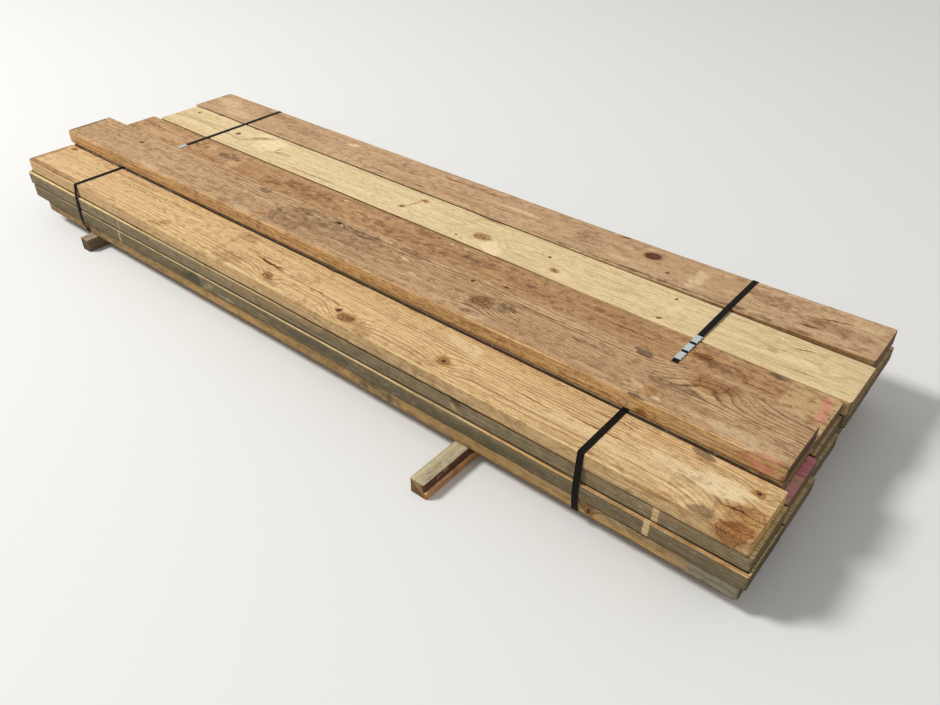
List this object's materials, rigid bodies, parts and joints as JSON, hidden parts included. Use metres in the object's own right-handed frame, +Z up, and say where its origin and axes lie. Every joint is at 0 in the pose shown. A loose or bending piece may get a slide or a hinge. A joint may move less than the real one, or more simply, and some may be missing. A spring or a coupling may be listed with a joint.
{
  "type": "stack of lumber",
  "caption": "Low pack of sawn treated-pine boards laid in layers, held by black straps with crimped seals, on two cross bearers, with one loose board on top.",
  "frame": {"origin": "on the floor, under the middle of the whole stack's bounding box", "axes": "+X along the boards, +Y from the side with the long bearer end towards the other side, +Z up"},
  "size_m": [3.117, 1.338, 0.3012],
  "materials": {
    "pine_tan": "weathered, sawn",
    "pine_grey_brown": "weathered, sawn",
    "pine_brown": "weathered, sawn",
    "pine_pale": "sawn",
    "pine_rosy": "weathered, sawn",
    "pine_grey_green": "treated, sawn",
    "pine_golden": "treated, sawn",
    "bearer_pine": "weathered, sawn",
    "strap_black": "satin",
    "seal_zinc": "satin"
  },
  "bodies": {
    "root": {"layer_1_board_1": "pine_golden", "layer_1_board_2": "pine_golden", "layer_1_board_3": "pine_golden", "layer_1_board_4": "pine_golden", "layer_1_board_5": "pine_golden", "layer_2_board_1": "pine_grey_green", "layer_2_board_2": "pine_grey_green", "layer_2_board_3": "pine_grey_green", "layer_2_board_4": "pine_grey_green", "layer_2_board_5": "pine_grey_green", "layer_3_board_1": "pine_grey_green", "layer_3_board_2": "pine_grey_green", "layer_3_board_3": "pine_grey_green", "layer_3_board_4": "pine_grey_green", "layer_3_board_5": "pine_grey_green", "layer_4_board_1": "pine_tan", "layer_4_board_2": "pine_tan", "layer_4_board_3": "pine_brown", "layer_4_board_4": "pine_pale", "layer_4_board_5": "pine_rosy", "loose_board": "pine_grey_brown", "left_bearer": "bearer_pine", "right_bearer": "bearer_pine", "left_strap": "strap_black", "right_strap": "strap_black", "left_seal": "seal_zinc", "right_seal_1": "seal_zinc", "right_seal_2": "seal_zinc", "right_seal_3": "seal_zinc"}
  },
  "joints": []
}
